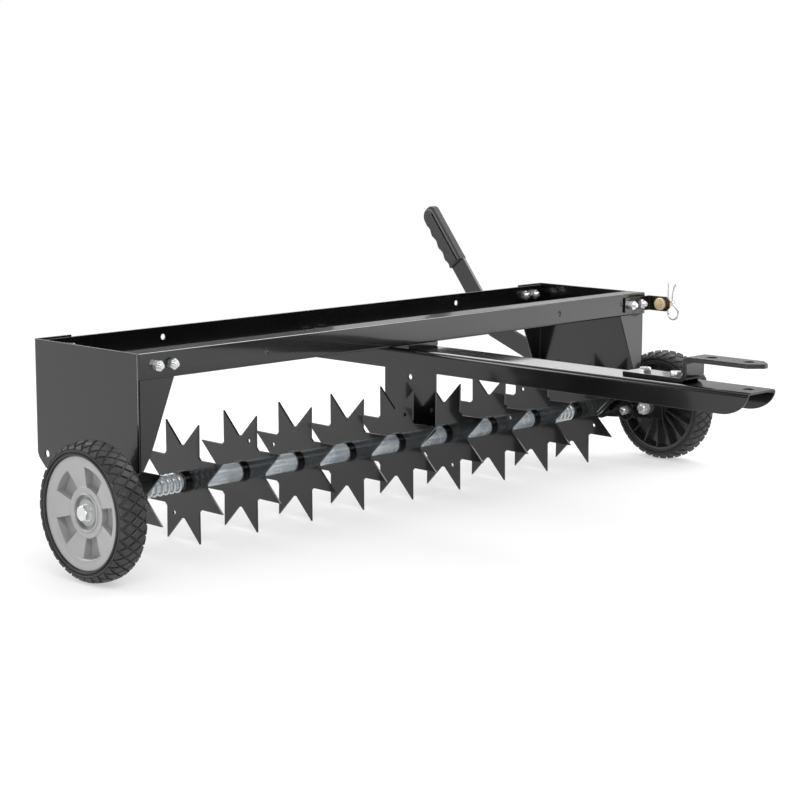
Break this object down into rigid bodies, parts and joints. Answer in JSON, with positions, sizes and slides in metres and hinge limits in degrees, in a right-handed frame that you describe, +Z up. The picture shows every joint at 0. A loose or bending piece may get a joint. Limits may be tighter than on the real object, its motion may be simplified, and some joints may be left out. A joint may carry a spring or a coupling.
{
  "type": "tow behind aerator",
  "caption": "Tow-behind lawn spike aerator with open weight tray, star tine wheels on one shaft, drawbar hitch and lever-lifted transport wheels.",
  "frame": {"origin": "middle of the machine's bounding box at floor level, standing on its tine wheels and transport wheels", "axes": "+X across the machine toward the side with the lift lever, -Y forward toward the hitch, +Y rearward, +Z up"},
  "size_m": [1.1948, 1.066, 0.3893],
  "materials": {
    "black_paint": "glossy black powder coat",
    "zinc": "zinc plated fasteners",
    "bush_bronze": "plain sintered bronze",
    "galvanised": "galvanised tube with lengthwise streaks",
    "bright_zinc": "bright zinc plated wire",
    "black_plastic": "dull black moulded plastic",
    "tyre_rubber": "black rubber",
    "grey_plastic": "satin grey moulded plastic",
    "pin_zinc": "yellow zinc plated steel"
  },
  "bodies": {
    "frame": {"front_rail": "black_paint", "rear_rail": "black_paint", "left_end_plate": "black_paint", "right_end_plate": "black_paint", "tray_floor": "black_paint", "drawbar": "black_paint", "drawbar_pads": "black_paint", "centre_hanger": "black_paint", "hitch_strap": "black_paint", "hitch_bolts": "zinc", "hitch_nuts": "zinc", "pin_bracket": "black_paint", "front_rail_bolts": "zinc", "front_rail_nuts": "zinc", "rear_rail_bolts": "zinc", "rear_rail_nuts": "zinc", "drawbar_bolts": "zinc", "drawbar_nuts": "zinc", "hanger_bolts": "zinc", "hanger_nuts": "zinc", "left_bushing": "bush_bronze", "right_bushing": "bush_bronze", "hanger_bushing": "bush_bronze"},
    "lift": {"tine_shaft": "galvanised", "left_arm": "black_paint", "right_arm": "black_paint", "lift_lever": "black_paint", "lever_grip": "black_plastic", "lever_bolts": "zinc", "left_axle_bolt": "zinc", "right_axle_bolt": "zinc", "left_axle_nut": "zinc", "right_axle_nut": "zinc", "left_axle_spacer": "zinc", "right_axle_spacer": "zinc", "shaft_end_nuts": "zinc", "shaft_spacers": "galvanised", "left_tine_spring": "bright_zinc", "right_tine_spring": "bright_zinc"},
    "tine_0": {"tine_wheel_0": "black_paint"},
    "tine_1": {"tine_wheel_1": "black_paint"},
    "tine_2": {"tine_wheel_2": "black_paint"},
    "tine_3": {"tine_wheel_3": "black_paint"},
    "tine_4": {"tine_wheel_4": "black_paint"},
    "tine_5": {"tine_wheel_5": "black_paint"},
    "tine_6": {"tine_wheel_6": "black_paint"},
    "tine_7": {"tine_wheel_7": "black_paint"},
    "tine_8": {"tine_wheel_8": "black_paint"},
    "tine_9": {"tine_wheel_9": "black_paint"},
    "left_wheel": {"left_tyre": "tyre_rubber", "left_wheel_core": "black_plastic", "left_wheel_cover": "grey_plastic", "left_wheel_bush": "galvanised"},
    "right_wheel": {"right_tyre": "tyre_rubber", "right_wheel_core": "black_plastic", "right_wheel_cover": "grey_plastic", "right_wheel_bush": "galvanised"},
    "pin": {"lock_pin": "pin_zinc"},
    "clip": {"hairpin_clip": "bright_zinc"}
  },
  "joints": [
    {"name": "lift_turn", "type": "hinge", "parent": "frame", "child": "lift", "pos_m": [0, 0.14178, 0.08056], "axis": [1, 0, 0], "range_deg": [-35, 92]},
    {"name": "tine_0_spin", "type": "hinge", "parent": "lift", "child": "tine_0", "pos_m": [-0.4572, 0.14178, 0.08056], "axis": [1, 0, 0], "continuous": true},
    {"name": "tine_1_spin", "type": "hinge", "parent": "lift", "child": "tine_1", "pos_m": [-0.3556, 0.14178, 0.08056], "axis": [1, 0, 0], "continuous": true},
    {"name": "tine_2_spin", "type": "hinge", "parent": "lift", "child": "tine_2", "pos_m": [-0.254, 0.14178, 0.08056], "axis": [1, 0, 0], "continuous": true},
    {"name": "tine_3_spin", "type": "hinge", "parent": "lift", "child": "tine_3", "pos_m": [-0.1524, 0.14178, 0.08056], "axis": [1, 0, 0], "continuous": true},
    {"name": "tine_4_spin", "type": "hinge", "parent": "lift", "child": "tine_4", "pos_m": [-0.0508, 0.14178, 0.08056], "axis": [1, 0, 0], "continuous": true},
    {"name": "tine_5_spin", "type": "hinge", "parent": "lift", "child": "tine_5", "pos_m": [0.0508, 0.14178, 0.08056], "axis": [1, 0, 0], "continuous": true},
    {"name": "tine_6_spin", "type": "hinge", "parent": "lift", "child": "tine_6", "pos_m": [0.1524, 0.14178, 0.08056], "axis": [1, 0, 0], "continuous": true},
    {"name": "tine_7_spin", "type": "hinge", "parent": "lift", "child": "tine_7", "pos_m": [0.254, 0.14178, 0.08056], "axis": [1, 0, 0], "continuous": true},
    {"name": "tine_8_spin", "type": "hinge", "parent": "lift", "child": "tine_8", "pos_m": [0.3556, 0.14178, 0.08056], "axis": [1, 0, 0], "continuous": true},
    {"name": "tine_9_spin", "type": "hinge", "parent": "lift", "child": "tine_9", "pos_m": [0.4572, 0.14178, 0.08056], "axis": [1, 0, 0], "continuous": true},
    {"name": "left_wheel_spin", "type": "hinge", "parent": "lift", "child": "left_wheel", "pos_m": [-0.5764, 0.04858, 0.088], "axis": [1, 0, 0], "continuous": true},
    {"name": "right_wheel_spin", "type": "hinge", "parent": "lift", "child": "right_wheel", "pos_m": [0.5764, 0.04858, 0.088], "axis": [1, 0, 0], "continuous": true},
    {"name": "pin_spin", "type": "hinge", "parent": "frame", "child": "pin", "pos_m": [0.5188, 0.01398, 0.25926], "axis": [1, 0, 0], "continuous": true},
    {"name": "clip_pull", "type": "slide", "parent": "pin", "child": "clip", "axis": [0, 0, -1], "range_m": [0, 0.045]}
  ]
}
